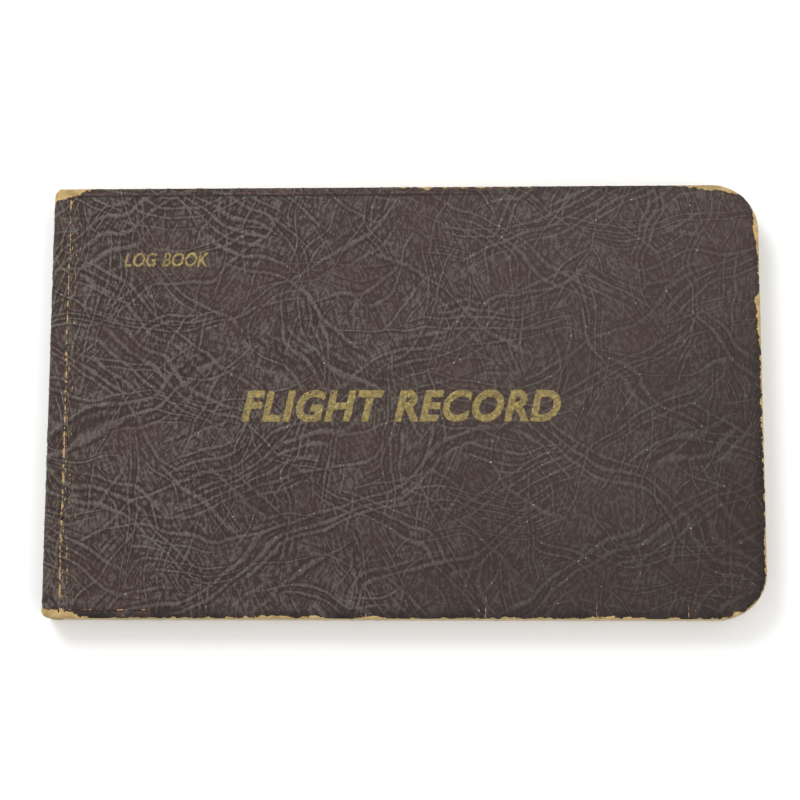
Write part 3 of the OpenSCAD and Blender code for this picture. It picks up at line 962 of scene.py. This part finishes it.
class LOGBOOK_OT_leaves(bpy.types.Operator):
    """Make every lot of leaves, from the stitched margin to the fore edge, with close mesh steps near the
    stitches
    """
    bl_idname = "logbook.leaves"
    bl_label = "Leaves"

    def execute(self, context):
        sizes = context.scene.logbook_cover
        leaf = context.scene.logbook_leaf
        ruled = paper_material("ruled_ledger_paper", leaf, True)
        plain = paper_material("plain_flyleaf_paper", leaf, False)
        tree = self.lot_tree()
        lots = [n for n in frame["record"]["behaviour"]["bodies"] if n.endswith("_body")]
        seed = context.scene.logbook_stage.seed
        for index, body in enumerate(lots):
            node = body[:-len("_body")]
            low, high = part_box(node)
            inner_x = STRIP_X
            bend = [inner_x + leaf.bend_w * i / LEAF_BENDS for i in range(LEAF_BENDS)]
            rest = fore_steps(inner_x + leaf.bend_w, high[0], sizes.fore_r - SQUARE_W, LEAF_STEP, 14)
            top = [(x, high[2], x - BACK_X, 0.0, 1.0) for x in bend + rest]
            under = [(x, high[2] - LEAF_T, x - BACK_X, 0.0, 1.0) for x in bend + rest]
            mesh = sheet_mesh(node + "_sheet", top, under, 12, sizes, inset=SQUARE_W)
            orient(mesh)
            piece = link(bpy.data.objects.new(node + "_paper", mesh))
            count = round((high[2] - low[2] - LEAF_T) / (LEAF_T + 0.00002)) + 1
            pitch = (high[2] - low[2] - LEAF_T) / (count - 1) if count > 1 else 0.0
            material = plain if "flyleaf" in node else ruled
            apply_tree(piece, tree, {"Leaves": count, "Pitch": pitch, "Seed": seed + index,
                                     "Material": material})
            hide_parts(node)
            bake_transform(piece)
        return {"FINISHED"}

    def lot_tree(self):
        """Repeats one leaf down the lot; each is trimmed a hair shorter and has its own tone."""
        tree, start, end = new_tree("leaf_lot", [("Leaves", "NodeSocketInt"), ("Pitch", "NodeSocketFloat"),
                                                 ("Seed", "NodeSocketInt"), ("Material", "NodeSocketMaterial")])
        down = add(tree, "Math", (start.outputs["Pitch"], -1.0), **TIMES)
        row = add(tree, "GeometryNodeMeshLine", {"Count": start.outputs["Leaves"],
                                                 "Offset": add(tree, "CombineXYZ", {2: down})})
        trim = add(tree, "FunctionNodeRandomValue", {0: (1.0 - TRIM, 1.0 - TRIM, 1.0), 1: (1.0, 1.0, 1.0),
                                                     "Seed": start.outputs["Seed"]}, data_type="FLOAT_VECTOR")
        copies = add(tree, "GeometryNodeInstanceOnPoints", {"Points": row,
                                                            "Instance": start.outputs["Geometry"],
                                                            "Scale": trim})
        tone = add(tree, "FunctionNodeRandomValue", {"Seed": add(tree, "Math", (start.outputs["Seed"], 91.0),
                **PLUS)}, data_type="FLOAT")
        toned = add(tree, "GeometryNodeStoreNamedAttribute", {"Geometry": copies, "Name": "tone",
                                                              "Value": tone.outputs[1]}, data_type="FLOAT",
                    domain="INSTANCE")
        close_tree(tree, toned.outputs[0], start, end)
        return tree


class LOGBOOK_OT_foil(bpy.types.Operator):
    """Stamp the generic foil words into the front cover"""
    bl_idname = "logbook.foil"
    bl_label = "Foil"

    def execute(self, context):
        sizes = context.scene.logbook_foil
        skin = bpy.data.objects.get("front_leatherette")
        if skin is None:
            raise RuntimeError("the covers have to be made before the foil")
        material = foil_material(sizes)
        tree = self.stamp_tree()
        words = (("title_foil", sizes.title, sizes.title_w, sizes.title_h, TITLE_AT, sizes.title_bold),
                 ("small_foil", sizes.small, sizes.small_w, sizes.small_h, SMALL_AT, sizes.small_bold))
        for name, text, width, height, centre, bold in words:
            piece = link(bpy.data.objects.new(name, self.lettering(name, text, width, height, centre, bold,
                    sizes)))
            apply_tree(piece, tree, {"Skin": skin, "Material": material})
            orient(piece.data)
            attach(piece, "front_cover")
        return {"FINISHED"}

    def lettering(self, name, text, width, height, centre, bold, sizes):
        """Flat filled letters of this length and height round centre."""
        curve = bpy.data.curves.new(name + "_line", "FONT")
        curve.body = text
        curve.shear = sizes.slant
        curve.offset = bold
        curve.space_character = 1.0 + 2.4 * bold
        curve.space_word = 1.15
        curve.resolution_u = 6
        line = link(bpy.data.objects.new(name + "_line", curve))
        bpy.context.view_layer.update()
        mesh = bpy.data.meshes.new_from_object(line.evaluated_get(bpy.context.evaluated_depsgraph_get()))
        bpy.data.objects.remove(line)
        mesh.name = name
        across = [v.co.x for v in mesh.vertices]
        up = [v.co.y for v in mesh.vertices]
        for v in mesh.vertices:
            v.co.x = centre[0] + width * ((v.co.x - min(across)) / (max(across) - min(across)) - 0.5)
            v.co.y = centre[1] + height * ((v.co.y - min(up)) / (max(up) - min(up)) - 0.5)
            v.co.z = 0.0
        return mesh

    def stamp_tree(self):
        """Letters cut small, their outline roughened, laid on the creased skin and given a thin edge."""
        tree, start, end = new_tree("stamped_words", [("Skin", "NodeSocketObject"),
                                                      ("Material", "NodeSocketMaterial")])
        joined = add(tree, "GeometryNodeMergeByDistance", {"Geometry": start.outputs["Geometry"],
                                                           "Distance": 0.000002})
        cut = add(tree, "GeometryNodeSubdivideMesh", {"Mesh": joined, "Level": 3})
        place = add(tree, "GeometryNodeInputPosition")
        rough = add(tree, "TexNoise", {"Vector": place, "Scale": per(0.7), "Detail": 2.0},
                    **FLAT).outputs["Color"]
        shift = add(tree, "VectorMath", (rough, (0.5, 0.5, 0.5)), **MINUS)
        shift = add(tree, "VectorMath", (shift, (0.0007, 0.0007, 0.0)), **TIMES)
        ragged = add(tree, "GeometryNodeSetPosition", {"Geometry": cut, "Offset": shift})
        skin = add(tree, "GeometryNodeObjectInfo", {"Object": start.outputs["Skin"]}).outputs["Geometry"]
        above = add(tree, "VectorMath", (place, (0, 0, BOOK_T + 0.01)), **PLUS)
        hit = add(tree, "GeometryNodeRaycast", {"Target Geometry": skin, "Source Position": above,
                                                "Ray Direction": (0.0, 0.0, -1.0), "Ray Length": 0.02})
        laid = add(tree, "VectorMath", (hit.outputs["Hit Position"], (0, 0, FOIL_LIFT)), **PLUS)
        laid = add(tree, "GeometryNodeSetPosition", {"Geometry": ragged, "Position": laid})
        sheet = add(tree, "VectorMath", (place, (-BACK_X, 0.0, 0.0)), **PLUS)
        stored = add(tree, "GeometryNodeStoreNamedAttribute",
                     {"Geometry": laid, "Name": "sheet", "Value": sheet}, data_type="FLOAT_VECTOR",
                     domain="POINT")
        under = add(tree, "GeometryNodeFlipFaces", (stored,))
        raised = add(tree, "GeometryNodeExtrudeMesh", {"Mesh": stored, "Offset": (0, 0, 1.0),
                                                       "Offset Scale": FOIL_T, "Individual": False},
                     mode="FACES")
        both = add(tree, "GeometryNodeJoinGeometry")
        fill(tree, both, (under,))
        fill(tree, both, (raised,))
        merged = add(tree, "GeometryNodeMergeByDistance", {"Geometry": both, "Distance": 0.000001})
        close_tree(tree, merged, start, end)
        return tree


class LOGBOOK_OT_binding(bpy.types.Operator):
    """Finish the stitched binding: clamped margins, cloth, glue and wire"""
    bl_idname = "logbook.binding"
    bl_label = "Binding"

    def execute(self, context):
        leaf = context.scene.logbook_leaf
        wire = wire_material()
        finishes = {
            "leaf_stubs": pressed_margin_material(leaf), "spine_cloth": cloth_material(),
            "spine_glue": glue_material(), "staple_head": wire, "staple_middle": wire, "staple_tail": wire,
        }
        for name, material in finishes.items():
            node = next((o for o in bpy.data.objects if o.get("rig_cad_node") == name), None)
            if node is None:
                raise RuntimeError(f"no CAD piece {name}")
            node.data.materials.clear()
            node.data.materials.append(material)
        return {"FINISHED"}


class LOGBOOK_OT_stage(bpy.types.Operator):
    """Lay the floor and set the lights and the camera"""
    bl_idname = "logbook.stage"
    bl_label = "Stage"

    def execute(self, context):
        sizes = context.scene.logbook_stage
        scene = context.scene
        mesh = bpy.data.meshes.new("floor")
        reach = 4.0
        mesh.from_pydata([(-reach, -reach, 0), (reach, -reach, 0), (reach, reach, 0), (-reach, reach, 0)], [],
                         [(0, 1, 2, 3)])
        floor = link(bpy.data.objects.new("floor", mesh))
        material, tree, shader = new_material("matte_pale_floor")
        shader.inputs["Base Color"].default_value = (*sizes.floor, 1.0)
        shader.inputs["Roughness"].default_value = 0.9
        mesh.materials.append(material)

        world = bpy.data.worlds.new("studio")
        world.use_nodes = True
        tree = world.node_tree
        tree.nodes.clear()
        air = add(tree, "Background", {"Color": (1, 1, 1, 1), "Strength": 0.86})
        add(tree, "OutputWorld", {"Surface": air.outputs[0]})
        scene.world = world

        for name, place, size, power in (("key", (-0.55, 0.75, 0.85), 0.6, 8.0),
                                         ("fill", (0.8, -0.5, 0.9), 0.9, 3.0)):
            lamp = bpy.data.lights.new(name, "AREA")
            lamp.shape = "DISK"
            lamp.size = size
            lamp.energy = power
            lamp_obj = link(bpy.data.objects.new(name, lamp))
            lamp_obj.location = place
            lamp_obj.rotation_euler = (-Vector(place)).to_track_quat("-Z", "Y").to_euler()

        camera = bpy.data.cameras.new("camera")
        camera.sensor_width = 36.0
        camera.lens = sizes.lens
        camera.clip_start = 0.01
        eye = link(bpy.data.objects.new("camera", camera))
        target = Vector((-0.0007, -0.0003, BOOK_T))
        away = Vector((math.tan(sizes.side_tilt), -math.tan(sizes.tilt), 1.0)).normalized()
        eye.location = target + sizes.distance * away
        right = Vector((1, 0, 0)) - away * away.x
        right.normalize()
        frame_axes = Matrix((right, away.cross(right), away)).transposed()
        eye.rotation_euler = (frame_axes @ Matrix.Rotation(sizes.roll, 3, "Z")).to_euler()
        scene.camera = eye
        scene.view_settings.view_transform = "Standard"  # plain tones, without a film-like curve
        return {"FINISHED"}


class LOGBOOK_PT_panel(bpy.types.Panel):
    bl_idname = "LOGBOOK_PT_panel"
    bl_label = "Pilot Logbook"
    bl_space_type = "VIEW_3D"
    bl_region_type = "UI"
    bl_category = "Logbook"

    def draw(self, context):
        layout = self.layout
        for group, operators in (("logbook_cover", ("covers",)), ("logbook_leaf", ("leaves", "binding")),
                                 ("logbook_foil", ("foil",)), ("logbook_stage", ("stage",))):
            settings = getattr(context.scene, group)
            box = layout.box()
            for key in settings.bl_rna.properties.keys():
                if key not in ("rna_type", "name"):
                    box.prop(settings, key)
            for name in operators:
                box.operator("logbook." + name)


CLASSES = (LogbookCoverSizes, LogbookLeafSizes, LogbookFoilSizes, LogbookStageSizes, LOGBOOK_OT_covers,
           LOGBOOK_OT_leaves, LOGBOOK_OT_foil, LOGBOOK_OT_binding, LOGBOOK_OT_stage, LOGBOOK_PT_panel, )
GROUPS = {
    "logbook_cover": LogbookCoverSizes, "logbook_leaf": LogbookLeafSizes,
    "logbook_foil": LogbookFoilSizes, "logbook_stage": LogbookStageSizes,
}


def register():
    for cls in CLASSES:
        bpy.utils.register_class(cls)
    for name, group in GROUPS.items():
        setattr(bpy.types.Scene, name, PointerProperty(type=group))


def unregister():
    for name in GROUPS:
        delattr(bpy.types.Scene, name)
    for cls in reversed(CLASSES):
        bpy.utils.unregister_class(cls)


def main():
    register()
    bpy.ops.logbook.covers()
    bpy.ops.logbook.leaves()
    bpy.ops.logbook.foil()
    bpy.ops.logbook.binding()
    bpy.ops.logbook.stage()


if __name__ == "__main__":
    main()
